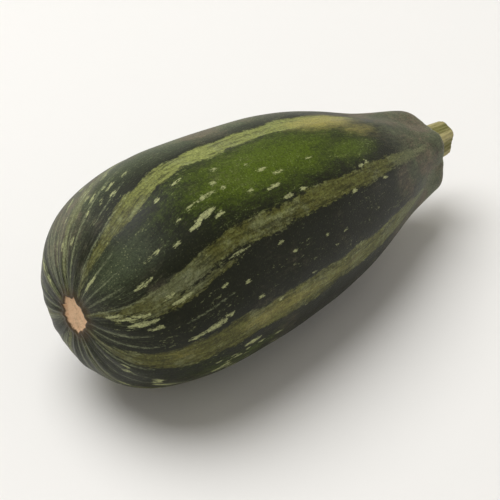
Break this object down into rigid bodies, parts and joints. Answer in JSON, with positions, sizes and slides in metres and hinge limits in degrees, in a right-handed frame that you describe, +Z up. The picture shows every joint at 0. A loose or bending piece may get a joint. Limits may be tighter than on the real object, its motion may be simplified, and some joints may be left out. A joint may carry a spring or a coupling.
{
  "type": "vegetable marrow",
  "caption": "Plump striped dark green vegetable marrow lying on its side, widest near the corky blossom scar and tapering to a lobed shoulder with a cut stalk stub.",
  "frame": {"origin": "on the ground, under the middle of the marrow's bounding box", "axes": "+X from the blossom end to the stalk end, +Z up"},
  "size_m": [0.2904, 0.1248, 0.1222],
  "materials": {
    "skin": "waxy dark green skin with pale green stripes and flecks",
    "stalk": "dry olive green fibrous stalk with a tan cut end"
  },
  "bodies": {
    "root": {"fruit": "skin", "stem": "stalk"}
  },
  "joints": []
}
